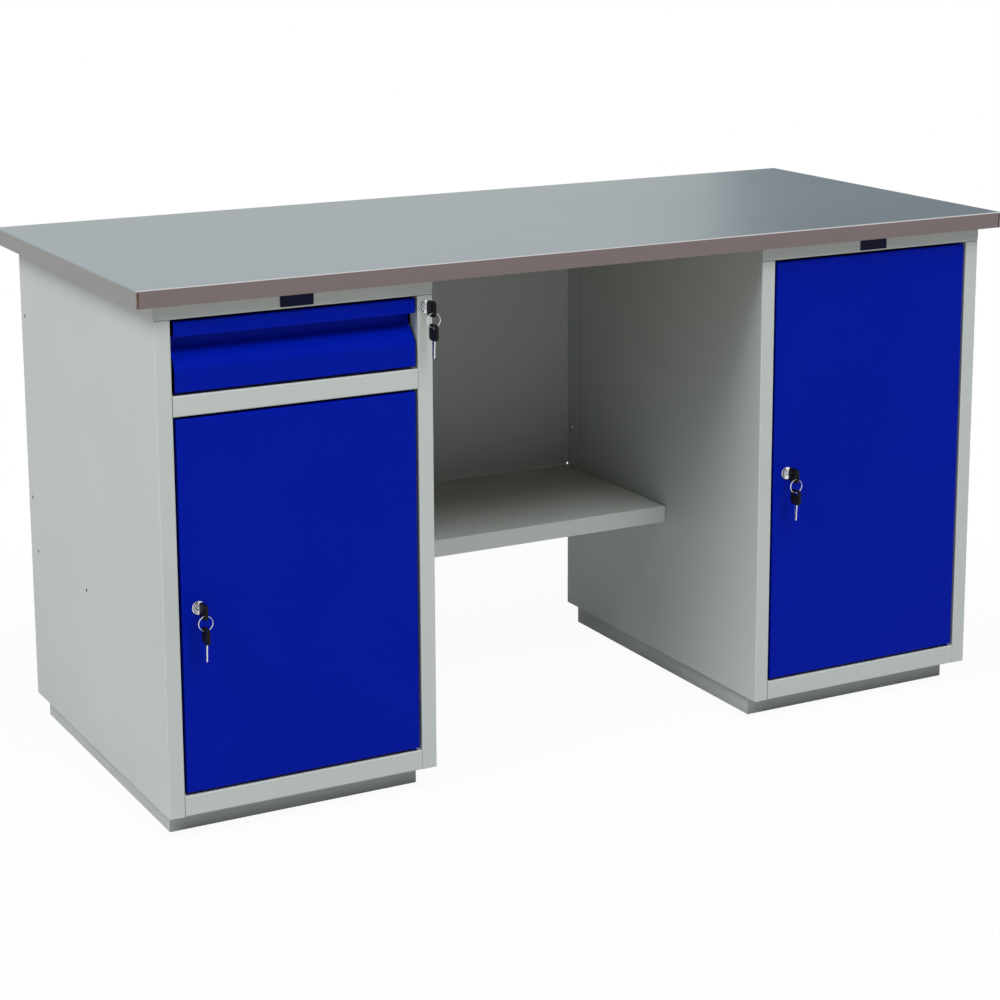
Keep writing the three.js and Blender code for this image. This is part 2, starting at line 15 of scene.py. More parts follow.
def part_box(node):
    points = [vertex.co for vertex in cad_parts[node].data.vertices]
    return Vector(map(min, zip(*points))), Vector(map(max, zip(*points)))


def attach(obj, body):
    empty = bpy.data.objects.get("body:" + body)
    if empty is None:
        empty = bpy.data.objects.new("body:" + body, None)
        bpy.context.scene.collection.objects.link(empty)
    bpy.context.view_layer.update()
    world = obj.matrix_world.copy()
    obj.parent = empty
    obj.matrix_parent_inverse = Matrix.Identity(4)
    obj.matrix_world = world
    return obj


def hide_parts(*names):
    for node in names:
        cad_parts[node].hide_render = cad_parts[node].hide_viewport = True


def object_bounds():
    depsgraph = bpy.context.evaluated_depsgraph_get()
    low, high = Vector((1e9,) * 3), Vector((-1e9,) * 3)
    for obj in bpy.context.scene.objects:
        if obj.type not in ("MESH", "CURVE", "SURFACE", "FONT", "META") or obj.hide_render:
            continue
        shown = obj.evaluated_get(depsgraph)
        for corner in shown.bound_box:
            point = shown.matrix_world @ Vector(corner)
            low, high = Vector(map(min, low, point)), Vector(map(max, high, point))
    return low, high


bl_info = {
    "name": "Workbench with cabinet doors",
    "version": (1, 0, 0),
    "blender": (4, 5, 0),
    "location": "3D View > Sidebar > Workbench",
    "description": "Makes the pieces and finishes of the workbench, and sets its stage",
    "category": "Object",
}

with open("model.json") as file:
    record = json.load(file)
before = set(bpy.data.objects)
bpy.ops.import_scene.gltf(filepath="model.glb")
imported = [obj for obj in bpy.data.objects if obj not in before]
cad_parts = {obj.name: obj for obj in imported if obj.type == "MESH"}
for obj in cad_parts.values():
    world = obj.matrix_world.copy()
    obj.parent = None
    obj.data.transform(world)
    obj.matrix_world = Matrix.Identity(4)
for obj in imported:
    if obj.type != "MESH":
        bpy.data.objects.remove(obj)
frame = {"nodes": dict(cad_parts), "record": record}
CAD_BOX = [list(corner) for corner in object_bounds()]
MM = 0.001
SIDES = ("left", "right")
LOCKS = ("left_door", "right_door", "drawer")
SMOOTH_LIMIT = 35
CUT_EDGE_LIMIT = 40
CORNER_LIMIT = 60
FINISHES = {}


def linear(*screen):
    """A colour as it shows on screen, each part 0 to 255, as light values."""
    parts = [value / 255 for value in screen]
    return tuple(v / 12.92 if v <= 0.04045 else ((v + 0.055) / 1.055) ** 2.4 for v in parts)


def length(name, description, millimetres):
    return FloatProperty(
        name=name, description=description, default=millimetres * MM, subtype="DISTANCE", unit="LENGTH"
    )


def colour(name, description, *screen):
    return FloatVectorProperty(
        name=name, description=description, default=linear(*screen), subtype="COLOR", size=3, min=0, max=1
    )


class BenchSizes(bpy.types.PropertyGroup):
    """Sizes of the details that are made here."""

    sheet: length("Sheet", "Thickness of the folded sheet", 1.2)
    sheet_edge: length("Sheet edge", "Rounding along the cut edges of sheet steel", 0.25)
    board_edge: length("Board edge", "Rounding along the edges of the board", 0.6)
    fold: length("Fold", "Outer radius of a sharp fold", 2.0)
    front_return: length("Front return", "Depth of the drawer front's folded edges", 16)
    grip_top: length("Grip top", "Flat above the finger groove", 22.6)
    grip_height: length("Grip height", "Height of the finger groove", 43)
    grip_depth: length("Grip depth", "Depth of the finger groove", 26.4)
    grip_rise: length("Grip rise", "Upright part at the back of the finger groove", 18)
    grip_back: length("Grip back radius", "Radius at the top of the groove's back", 8)
    grip_sweep: length("Grip sweep radius", "Radius where the groove sweeps forward", 14)
    grip_lip: length("Grip lip radius", "Radius where the groove meets the lower flat", 20)
    lock_length: length("Lock length", "Lock barrel behind its face", 20)
    lock_nut: length("Lock nut", "Corner radius of the nut on a lock barrel", 10.4)
    lock_nut_depth: length("Lock nut depth", "Thickness of the nut on a lock barrel", 3.5)
    lock_body: length("Lock body", "Radius of a lock barrel behind its face", 8)
    head_length: length("Key head length", "Black head of a key, along the blade", 26)
    head_width: length("Key head width", "Black head of a key, across the blade", 25)
    head_thickness: length("Key head thickness", "Thickness of the black head", 5)
    head_corner: length("Key head corner", "Corner radius of the black head", 6)
    head_edge: length("Key head edge", "Rounding of the black head's edges", 0.9)
    slot_length: length("Key slot length", "Slot in the head, across the blade", 15)
    slot_width: length("Key slot width", "Slot in the head, along the blade", 6)
    slot_bridge: length("Key slot bridge", "Plastic between the slot and the end of the head", 3.2)
    key_reach: length("Key reach", "From the lock's face to the outer end of the head", 36)
    blade_length: length("Blade length", "Key blade from the head", 28)
    blade_width: length("Blade width", "Width of a key blade", 7)
    blade_thickness: length("Blade thickness", "Thickness of a key blade", 2)
    blade_root: length("Blade root", "Key blade inside the head", 1)
    ring_wire: length("Ring wire", "Radius of the wire of a split ring", 0.5)
    plate_corner: length("Plate corner", "Corner radius of a rail plate", 2)
    plate_rim: length("Plate rim", "Width of the raised rim of a rail plate", 1.2)
    plate_edge: length("Plate edge", "Rounding and step of a rail plate", 0.3)
    ring_turns: FloatProperty(name="Ring turns", description="Turns of wire in a split ring", default=1.94)
    ring_steps: IntProperty(name="Ring steps", description="Steps along the wire of a ring", default=84)
    lathe_steps: IntProperty(name="Lathe steps", description="Steps in a turn of a lock face", default=48)
    bolt_steps: IntProperty(name="Bolt steps", description="Steps in a turn of a bolt", default=24)


class BenchColours(bpy.types.PropertyGroup):
    """Colours of the finishes, as they show in plain light."""

    body: colour("Body", "Powder coat of carcass, shelves and plinths", 188, 194, 190)
    blue: colour("Blue", "Powder coat of doors and drawer front", 1, 24, 154)
    steel: colour("Worktop", "Sheet on the worktop", 164, 174, 177)
    # Painted reflection: the front edge is the same folded sheet as the top, painted darker and brownish
    # where it mirrors the floor.
    steel_front_reflection: colour("Front edge", "Sheet on the front edge of the worktop", 122, 110, 110)
    # Painted shade: the end edges are the same sheet as the top, painted a darker grey.
    steel_end_shade: colour("End edge", "Sheet on the end edges of the worktop", 151, 149, 146)
    # Painted highlight: a lighter band along the front fold, where the bend catches the light.
    steel_fold_highlight: colour("Front fold", "Sheet rubbed bright along the worktop's front fold", 204, 202, 203)
    zinc: colour("Zinc", "Plated drawer, runners, pins, cams and bolts", 178, 184, 188)
    chrome: colour("Chrome", "Locks, rings and key blades", 222, 224, 227)
    plastic: colour("Plastic", "Heads of the keys", 11, 11, 12)
    board: colour("Board", "Chipboard inside the worktop", 128, 102, 72)
    plate: colour("Plate", "Bare plates on the top rails", 10, 11, 48)
    floor: colour("Floor", "Floor of the stage", 210, 210, 210)
    card: colour("Card", "Card that shows as a reflection in the worktop", 163, 172, 180)


class Value:
    """One output of a shader node, which takes part in Python arithmetic."""

    def __init__(self, shading, socket):
        self.shading = shading
        self.socket = socket

    def math(self, operation, first, second):
        return self.shading.node("ShaderNodeMath", {"operation": operation}, {0: first, 1: second})

    def __add__(self, other):
        return self.math("ADD", self, other)

    def __radd__(self, other):
        return self.math("ADD", other, self)

    def __sub__(self, other):
        return self.math("SUBTRACT", self, other)

    def __rsub__(self, other):
        return self.math("SUBTRACT", other, self)

    def __mul__(self, other):
        return self.math("MULTIPLY", self, other)

    def __rmul__(self, other):
        return self.math("MULTIPLY", other, self)

    def __abs__(self):
        return self.math("ABSOLUTE", self, 0.0)

    def maximum(self, other):
        return self.math("MAXIMUM", self, other)


class Shading:
    """Adds nodes to a node tree and joins them."""

    def __init__(self, tree):
        self.tree = tree

    def node(self, kind, settings=None, inputs=None, output=0):
        """Adds a node, gives it settings and then inputs, and returns one of its outputs."""
        made = self.tree.nodes.new(kind)
        for key, value in (settings or {}).items():
            setattr(made, key, value)
        for key, value in (inputs or {}).items():
            self.feed(made.inputs[key], value)
        return Value(self, made.outputs[output])

    def feed(self, socket, value):
        """Gives a socket a link or a constant. A colour of three parts gets a fourth, which is opaque."""
        if isinstance(value, Value):
            self.tree.links.new(value.socket, socket)
        elif socket.type == "RGBA" and len(value) == 3:
            socket.default_value = (*value, 1.0)
        else:
            socket.default_value = value

    def seen(self):
        """1 for rays that show the surroundings: to the camera, by reflection or through glass."""
        kinds = ("Is Camera Ray", "Is Glossy Ray", "Is Transmission Ray")
        camera, glossy, through = (self.node("ShaderNodeLightPath", output=kind) for kind in kinds)
        return camera.maximum(glossy).maximum(through)


class Finish(Shading):
    """A material with a Principled shader, patterned in the object's own coordinates."""

    def __init__(self, name):
        self.material = bpy.data.materials.new(name)
        self.material.use_nodes = True
        super().__init__(self.material.node_tree)
        self.shader = self.tree.nodes["Principled BSDF"]
        self.output = self.tree.nodes["Material Output"]
        self.place = self.node("ShaderNodeTexCoord", output="Object")

    def set(self, inputs):
        for name, value in inputs.items():
            self.feed(self.shader.inputs[name], value)

    def show(self, shader):
        self.feed(self.output.inputs["Surface"], shader)

    def axis(self, name):
        return self.node("ShaderNodeSeparateXYZ", {}, {"Vector": self.place}, name)

    def noise(self, scale, detail=3.0, roughness=0.5, stretch=(1, 1, 1)):
        place = self.node("ShaderNodeMapping", {}, {"Vector": self.place, "Scale": stretch})
        inputs = {"Vector": place, "Scale": scale, "Detail": detail, "Roughness": roughness}
        return self.node("ShaderNodeTexNoise", {}, inputs, "Fac")

    def span(self, value, low, high, at_low, at_high):
        """Stretches a value so that low and high become the two given results."""
        inputs = {"Value": value, "From Min": low, "From Max": high, "To Min": at_low, "To Max": at_high}
        return self.node("ShaderNodeMapRange", {"clamp": True}, inputs, "Result")

    def blend(self, factor, first, second):
        """A colour between two. The colour sockets of the node are 6, 7 and 2."""
        return self.node("ShaderNodeMix", {"data_type": "RGBA"}, {0: factor, 6: first, 7: second}, 2)

    def vary(self, tone, shade, contrast):
        """A colour that goes from darker to lighter with a tone between 0 and 1."""
        darker = tuple(part * (1 - contrast) for part in shade)
        lighter = tuple(min(1.0, part * (1 + contrast)) for part in shade)
        return self.blend(tone, darker, lighter)

    def bump(self, height, strength, distance):
        inputs = {"Height": height, "Strength": strength, "Distance": distance}
        self.set({"Normal": self.node("ShaderNodeBump", {}, inputs, "Normal")})


def powder_coat(name, shade, roughness, contrast, peel, gloss):
    """Sprayed and baked paint: an even colour, a fine grain and a slight orange peel."""
    finish = Finish(name)
    tone = finish.noise(2.4, 2.0) * 0.7 + finish.noise(900.0, 2.0, 0.6) * 0.3
    finish.set(
        {
            "Base Color": finish.vary(finish.span(tone, 0.3, 0.7, 0.0, 1.0), shade, contrast),
            "Roughness": finish.span(finish.noise(6.0, 4.0), 0.3, 0.7, roughness - 0.05, roughness + 0.06),
            "Specular IOR Level": gloss,
        }
    )
    finish.bump(finish.noise(420.0, 2.0) * 0.7 + finish.noise(1500.0, 1.0) * 0.3, peel, 0.4 * MM)
    return finish.material


def worktop_steel(name, shade, front_reflection, painted_end_shade, fold_highlight):
    """Grey sheet with faint rolling streaks along the bench, a painted reflection of the floor on the front
    edge, painted shade on the end edges and a painted highlight along the front fold.
    """
    finish = Finish(name)
    low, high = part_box("worktop_cladding")
    streak = finish.noise(14.0, 5.0, 0.6, (0.25, 6.0, 6.0))
    cloud = finish.noise(3.0, 3.0, 0.55)
    tone = finish.span(streak * 0.5 + cloud * 0.5, 0.32, 0.68, 0.0, 1.0)
    edge = 1.1 * MM
    blur = 0.5 * MM
    fold = high[2] - 2 * edge
    below = finish.span(finish.axis("Z"), fold, fold + blur, 1.0, 0.0)
    front = finish.span(finish.axis("Y"), low[1] + edge - blur, low[1] + edge, 1.0, 0.0)
    end = finish.span(abs(finish.axis("X")), high[0] - edge, high[0] - edge + blur, 0.0, 1.0)
    # Painted shade: the end edges get a darker grey of the same sheet.
    sheet = finish.blend(end * below, finish.vary(tone, shade, 0.045), finish.vary(tone, painted_end_shade, 0.04))
    # Painted reflection: the front edge gets a darker, brownish colour for the floor that it mirrors.
    fronted = finish.blend(front * below, sheet, finish.vary(tone, front_reflection, 0.05))
    finish.set(
        {
            # Painted highlight: a lighter colour on the front fold, above the front edge.
            "Base Color": finish.blend(front * (1 - below), fronted, fold_highlight),
            "Metallic": 0.92,
            "Specular Tint": (0.68, 0.70, 0.71),
            "Roughness": finish.span(tone, 0.0, 1.0, 0.27, 0.35),
        }
    )
    finish.bump(finish.noise(60.0, 4.0, 0.65, (0.3, 9.0, 9.0)), 0.05, 0.2 * MM)
    return finish.material


def plated_steel(name, shade, roughness, metallic, contrast):
    """Plated metal with a faint mottle."""
    finish = Finish(name)
    mottle = finish.span(finish.noise(90.0, 3.0, 0.6), 0.35, 0.65, 0.0, 1.0)
    finish.set(
        {
            "Base Color": finish.vary(mottle, shade, contrast),
            "Metallic": metallic,
            "Roughness": finish.span(finish.noise(40.0), 0.3, 0.7, roughness - 0.04, roughness + 0.05),
        }
    )
    finish.bump(finish.noise(700.0, 2.0), 0.04, 0.2 * MM)
    return finish.material


def moulded_plastic(name, shade):
    """Black plastic with the fine grain of its mould."""
    finish = Finish(name)
    grain = finish.noise(1800.0, 2.0, 0.6)
    finish.set(
        {
            "Base Color": finish.vary(grain, shade, 0.3),
            "Roughness": finish.span(grain, 0.3, 0.7, 0.34, 0.46),
            "Specular IOR Level": 0.15,
        }
    )
    finish.bump(grain, 0.12, 0.3 * MM)
    return finish.material


def chipboard(name, shade):
    """Pressed wood flakes of several tones."""
    finish = Finish(name)
    cells = {"Vector": finish.place, "Scale": 260.0}
    flakes = finish.node("ShaderNodeTexVoronoi", {"feature": "F1"}, cells, "Color")
    flake = finish.node("ShaderNodeSeparateColor", {}, {"Color": flakes}, "Red")
    tone = finish.span(flake * 0.6 + finish.noise(30.0, 4.0) * 0.4, 0.1, 0.8, 0.0, 1.0)
    finish.set(
        {
            "Base Color": finish.vary(tone, shade, 0.3),
            "Roughness": finish.span(flake, 0.0, 1.0, 0.72, 0.9),
        }
    )
    finish.bump(flake, 0.25, 0.4 * MM)
    return finish.material


def make_finishes():
    """One material for each slot of the record."""
    tint = bpy.context.scene.bench_colours
    body = tuple(tint.body)
    steel = (tuple(tint.steel), tuple(tint.steel_front_reflection), tuple(tint.steel_end_shade), tuple(tint.steel_fold_highlight))
    blue = tuple(tint.blue)
    plate = tuple(tint.plate)
    zinc = tuple(tint.zinc)
    chrome = tuple(tint.chrome)
    FINISHES.update(
        body_paint=powder_coat("body_paint", body, roughness=0.45, contrast=0.018, peel=0.1, gloss=0.25),
        plinth_paint=powder_coat("plinth_paint", body, roughness=0.5, contrast=0.025, peel=0.1, gloss=0.25),
        blue_paint=powder_coat("blue_paint", blue, roughness=0.45, contrast=0.05, peel=0.08, gloss=0.04),
        badge_plate=powder_coat("badge_plate", plate, roughness=0.38, contrast=0.06, peel=0.05, gloss=0.1),
        top_steel=worktop_steel("top_steel", *steel),
        zinc_steel=plated_steel("zinc_steel", zinc, roughness=0.34, metallic=0.9, contrast=0.06),
        lock_chrome=plated_steel("lock_chrome", chrome, roughness=0.2, metallic=1.0, contrast=0.015),
        key_plastic=moulded_plastic("key_plastic", tuple(tint.plastic)),
        board=chipboard("board", tuple(tint.board)),
    )


def slot_of(node):
    return next(part["material_slot"] for part in frame["record"]["subparts"] if part["node"] == node)


def body_of(node):
    bodies = frame["record"]["behaviour"]["bodies"]
    return next(body for body, nodes in bodies.items() if node in nodes)


def box_of(node):
    """The low corner, the high corner and the centre of a node."""
    low, high = (Vector(corner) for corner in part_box(node))
    return low, high, (low + high) / 2


def sharp_edges(bm, degrees):
    """The edges whose two faces meet at more than an angle."""
    limit = math.radians(degrees)
    return [edge for edge in bm.edges if edge.is_manifold and edge.calc_face_angle(0.0) > limit]


def new_verts(made):
    return [part for part in made["geom"] if isinstance(part, bmesh.types.BMVert)]


def round_edges(bm, edges, offset, segments):
    bmesh.ops.bevel(
        bm,
        geom=edges,
        offset=offset,
        offset_type="OFFSET",
        segments=segments,
        profile=0.5,
        affect="EDGES",
        clamp_overlap=False,
        material=-1,
    )


def moved(bm, matrix):
    bmesh.ops.transform(bm, matrix=matrix, verts=bm.verts)
    return bm


def turned(outline, steps):
    """A closed outline of radius and y, in millimetres, turned about the Y axis."""
    bm = bmesh.new()
    verts = [bm.verts.new((radius * MM, y * MM, 0)) for radius, y in outline]
    edges = [bm.edges.new(pair) for pair in zip(verts, verts[1:] + verts[:1])]
    bmesh.ops.spin(
        bm,
        geom=verts + edges,
        cent=(0, 0, 0),
        axis=(0, 1, 0),
        angle=2 * math.pi,
        steps=steps,
        use_merge=True,
    )
    bmesh.ops.recalc_face_normals(bm, faces=bm.faces)
    return bm


def add_piece(name, bm, body, slot, *replaced):
    """Turns a bmesh into a piece with its finish that rides on a body, smooth but for its sharp edges."""
    for face in bm.faces:
        face.smooth = True
    for edge in bm.edges:
        edge.smooth = True
    for edge in sharp_edges(bm, SMOOTH_LIMIT):
        edge.smooth = False
    mesh = bpy.data.meshes.new(name)
    bm.to_mesh(mesh)
    bm.free()
    piece = bpy.data.objects.new(name, mesh)
    bpy.context.scene.collection.objects.link(piece)
    mesh.materials.append(FINISHES[slot])
    flat = piece.modifiers.new("flat_faces", "WEIGHTED_NORMAL")
    flat.keep_sharp = True
    flat.weight = 100
    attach(piece, body)
    if replaced:
        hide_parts(*replaced)


def dress(node, edge):
    """Replaces a node with a copy of its shape, its folds smooth and its cut edges rounded."""
    bm = bmesh.new()
    bm.from_mesh(frame["nodes"][node].data)
    bmesh.ops.remove_doubles(bm, verts=bm.verts, dist=0.002 * MM)
    bmesh.ops.dissolve_limit(bm, angle_limit=math.radians(1), verts=bm.verts, edges=bm.edges)
    round_edges(bm, sharp_edges(bm, CUT_EDGE_LIMIT), edge, 2)
    add_piece(node + "_dressed", bm, body_of(node), slot_of(node), node)


class WORKBENCH_OT_worktop(bpy.types.Operator):
    """Make the board and its steel cladding"""

    bl_idname = "workbench.worktop"
    bl_label = "Worktop"

    def execute(self, context):
        size = context.scene.bench_sizes
        dress("worktop_cladding", size.sheet_edge)
        dress("worktop_board", size.board_edge)
        return {"FINISHED"}


class WORKBENCH_OT_pedestals(bpy.types.Operator):
    """Make the sheet-steel carcasses, plinths and shelves of both pedestals"""

    bl_idname = "workbench.pedestals"
    bl_label = "Pedestals"

    def execute(self, context):
        edge = context.scene.bench_sizes.sheet_edge
        for side in SIDES:
            for part in ("outer_side", "inner_side", "top_rail", "floor", "back", "plinth"):
                dress(side + "_" + part, edge)
        for node in ("left_mid_rail", "left_shelf", "right_shelf_lower", "right_shelf_upper"):
            dress(node, edge)
        return {"FINISHED"}


class WORKBENCH_OT_doors(bpy.types.Operator):
    """Make the doors and their pivot pins"""

    bl_idname = "workbench.doors"
    bl_label = "Doors"

    def execute(self, context):
        edge = context.scene.bench_sizes.sheet_edge
        for side in SIDES:
            for part in ("door", "door_pin_top", "door_pin_bottom"):
                dress(side + "_" + part, edge)
        return {"FINISHED"}


class WORKBENCH_OT_drawer(bpy.types.Operator):
    """Fold the drawer front, and make the drawer and its runners"""

    bl_idname = "workbench.drawer"
    bl_label = "Drawer"

    def execute(self, context):
        size = context.scene.bench_sizes
        add_piece("drawer_front_folded", self.front(size), "drawer", "blue_paint", "drawer_front")
        dress("drawer_tray", size.sheet_edge)
        for side in SIDES:
            dress("drawer_rail_" + side, size.sheet_edge)
            dress("drawer_runner_" + side, size.sheet_edge)
        return {"FINISHED"}

    def front(self, size):
        """One sheet with folded top and bottom edges and a finger groove across its whole width."""
        low, high, _ = box_of("drawer_front")
        groove_top = high.z - size.grip_top
        groove_back = low.y + size.grip_depth
        edge_back = low.y + size.front_return
        corners = [
            (low.y, high.z, size.fold),
            (low.y, groove_top, size.fold),
            (groove_back, groove_top, size.grip_back),
            (groove_back, groove_top - size.grip_rise, size.grip_sweep),
            (low.y, groove_top - size.grip_height, size.grip_lip),
            (low.y, low.z, size.fold),
        ]
        path = [(edge_back, high.z), *((y, z) for y, z, _ in corners), (edge_back, low.z)]
        bm = bmesh.new()
        verts = [bm.verts.new((low.x, y, z)) for y, z in path]
        edges = [bm.edges.new(pair) for pair in zip(verts, verts[1:])]
        far_end = new_verts(bmesh.ops.extrude_edge_only(bm, edges=edges))
        bmesh.ops.translate(bm, verts=far_end, vec=(high.x - low.x, 0, 0))
        for y, z, radius in corners:
            self.round_fold(bm, Vector((low.x, y, z)), radius)
        bmesh.ops.recalc_face_normals(bm, faces=bm.faces)
        top = max(bm.faces, key=lambda face: face.calc_center_median().z)
        if top.normal.z < 0:
            bmesh.ops.reverse_faces(bm, faces=bm.faces)
        bmesh.ops.solidify(bm, geom=bm.faces[:], thickness=size.sheet)
        bmesh.ops.recalc_face_normals(bm, faces=bm.faces)
        return bm

    def round_fold(self, bm, corner, radius):
        """Rounds the fold that starts at a corner, in steps of about 8 degrees."""
        near = 0.01 * MM
        fold = next(
            edge
            for edge in bm.edges
            if len(edge.link_faces) == 2 and any((vert.co - corner).length < near for vert in edge.verts)
        )
        turn = fold.calc_face_angle()
        segments = max(4, math.ceil(math.degrees(turn) / 8))
        round_edges(bm, [fold], radius * math.tan(turn / 2), segments)


class WORKBENCH_OT_locks(bpy.types.Operator):
    """Turn the lock barrels, and make their nuts, plugs and cams"""

    bl_idname = "workbench.locks"
    bl_label = "Locks"

    def execute(self, context):
        size = context.scene.bench_sizes
        for lock in LOCKS:
            node = lock + "_lock_barrel"
            _, high, centre = box_of(node)
            place = Matrix.Translation((centre.x, high.y - size.lock_length, centre.z))
            body = body_of(node)
            add_piece(node + "_turned", moved(self.barrel(size), place), body, "lock_chrome", node)
            add_piece(lock + "_lock_nut", moved(self.nut(size), place), body, "zinc_steel")
            dress(lock + "_lock_plug", size.sheet_edge)
            dress(lock + "_lock_cam", size.sheet_edge)
        return {"FINISHED"}

    def barrel(self, size):
        """A raised face ring, dished towards the plug, and the body behind it."""
        body = size.lock_body / MM
        end = size.lock_length / MM
        bore = 5.3
        rim = 11.0
        crest = -2.6
        sheet_front = -0.1
        dish = [(bore, -1.5), (6.3, -1.9), (7.0, -2.5), (7.6, crest)]
        shoulder = [(9.7, crest), (10.5, -2.3), (10.9, -1.7), (rim, -0.9), (rim, sheet_front)]
        behind = [(body, sheet_front), (body, end), (bore, end)]
        return turned(dish + shoulder + behind, size.lathe_steps)

    def nut(self, size):
        """A six-sided nut behind the sheet."""
        bm = bmesh.new()
        for segments, radius in ((6, size.lock_nut), (24, size.lock_body)):
            bmesh.ops.create_circle(bm, segments=segments, radius=radius, cap_ends=False)
        bmesh.ops.bridge_loops(bm, edges=bm.edges[:])
        lifted = new_verts(bmesh.ops.extrude_face_region(bm, geom=bm.faces[:]))
        bmesh.ops.translate(bm, verts=lifted, vec=(0, 0, size.lock_nut_depth))
        bmesh.ops.recalc_face_normals(bm, faces=bm.faces)
        behind_sheet = Matrix.Translation((0, size.sheet + size.sheet_edge, 0))
        return moved(bm, behind_sheet @ Matrix.Rotation(-math.pi / 2, 4, "X"))


class WORKBENCH_OT_keys(bpy.types.Operator):
    """Make the keys in the locks, their split rings and the spare keys"""

    bl_idname = "workbench.keys"
    bl_label = "Keys"

    def execute(self, context):
        size = context.scene.bench_sizes
        down = Matrix.Rotation(-math.pi / 2, 4, "X")
        for lock in LOCKS:
            low, _, centre = box_of(lock + "_key")
            in_lock = Matrix.Translation((centre.x, low.y + size.key_reach, centre.z))
            self.add_key(lock + "_key", size, in_lock)
            _, high, centre = box_of(lock + "_spare_key")
            hanging = Matrix.Translation((centre.x, centre.y, high.z - size.key_reach))
            self.add_key(lock + "_spare_key", size, hanging @ down)
            node = lock + "_key_ring"
            low, high, centre = box_of(node)
            ring = moved(self.ring(size, (high.x - low.x) / 2), Matrix.Translation(centre))
            add_piece(node + "_split", ring, body_of(node), "lock_chrome", node)
        return {"FINISHED"}

    def add_key(self, node, size, place):
        """A black head and a bright blade. The blade points along +Y from a lock's face at y = 0."""
        body = body_of(node)
        add_piece(node + "_head", moved(self.head(size), place), body, "key_plastic", node)
        add_piece(node + "_blade", moved(self.blade(size), place), body, "lock_chrome")

    def head(self, size):
        """A plate with round corners and a slot, drawn flat and then stood up."""
        bm = bmesh.new()
        bmesh.ops.create_grid(bm, x_segments=1, y_segments=1, size=0.5)
        bmesh.ops.scale(bm, verts=bm.verts, vec=(size.head_length, size.head_width, 1))
        bmesh.ops.bevel(
            bm,
            geom=bm.verts[:],
            offset=size.head_corner,
            offset_type="OFFSET",
            segments=5,
            profile=0.5,
            affect="VERTICES",
            material=-1,
        )
        slot = next(iter(bm.faces))
        rim = 2 * MM
        bmesh.ops.inset_region(bm, faces=[slot], thickness=rim, use_boundary=True, use_even_offset=True)
        across = size.slot_width / (size.head_length - 2 * rim)
        along = size.slot_length / (size.head_width - 2 * rim)
        bmesh.ops.scale(bm, verts=slot.verts, vec=(across, along, 1))
        slot_centre = size.slot_bridge + (size.slot_width - size.head_length) / 2
        bmesh.ops.translate(bm, verts=slot.verts, vec=(slot_centre, 0, 0))
        bmesh.ops.delete(bm, geom=[slot], context="FACES")
        lifted = new_verts(bmesh.ops.extrude_face_region(bm, geom=bm.faces[:]))
        bmesh.ops.translate(bm, verts=lifted, vec=(0, 0, size.head_thickness))
        bmesh.ops.recalc_face_normals(bm, faces=bm.faces)
        round_edges(bm, sharp_edges(bm, CORNER_LIMIT), size.head_edge, 3)
        to_middle = Matrix.Translation((size.head_length / 2 - size.key_reach, 0, -size.head_thickness / 2))
        stand = Matrix(((0, 0, 1, 0), (1, 0, 0, 0), (0, 1, 0, 0), (0, 0, 0, 1)))
        return moved(bm, stand @ to_middle)

    def blade(self, size):
        """A flat blade with cuts of several depths along its lower edge."""
        cut_depths = (0, 0, 0, 0, 0, 1.1, 0.3, 1.9, 0.5, 1.3, 0.4, 2.1, 0.8, 1.6, 2.4)
        steps = len(cut_depths) - 1
        start = size.head_length - size.key_reach - size.blade_root
        span = size.blade_length + size.blade_root
        bm = bmesh.new()
        bmesh.ops.create_cube(bm, size=1)
        bmesh.ops.scale(bm, verts=bm.verts, vec=(size.blade_thickness, span, size.blade_width))
        bmesh.ops.translate(bm, verts=bm.verts, vec=(0, start + span / 2, 0))
        lengthways = [edge for edge in bm.edges if edge.calc_length() > span / 2]
        bmesh.ops.subdivide_edges(bm, edges=lengthways, cuts=steps - 1, use_grid_fill=True)
        for vert in bm.verts:
            if vert.co.z < 0:
                vert.co.z += cut_depths[round((vert.co.y - start) / span * steps)] * MM
        return bm

    def ring(self, size, radius):
        """Wire wound nearly twice about the Y axis."""
        bm = bmesh.new()
        bmesh.ops.create_circle(bm, segments=10, radius=size.ring_wire, cap_ends=False)
        pitch = 2.2 * size.ring_wire
        rise = pitch * size.ring_turns
        bmesh.ops.translate(bm, verts=bm.verts, vec=(radius - size.ring_wire, -rise / 2, 0))
        bmesh.ops.spin(
            bm,
            geom=bm.verts[:] + bm.edges[:],
            cent=(0, 0, 0),
            axis=(0, 1, 0),
            dvec=(0, rise / size.ring_steps, 0),
            angle=2 * math.pi * size.ring_turns,
            steps=size.ring_steps,
        )
        bmesh.ops.holes_fill(bm, edges=[edge for edge in bm.edges if edge.is_boundary])
        bmesh.ops.recalc_face_normals(bm, faces=bm.faces)
        return bm


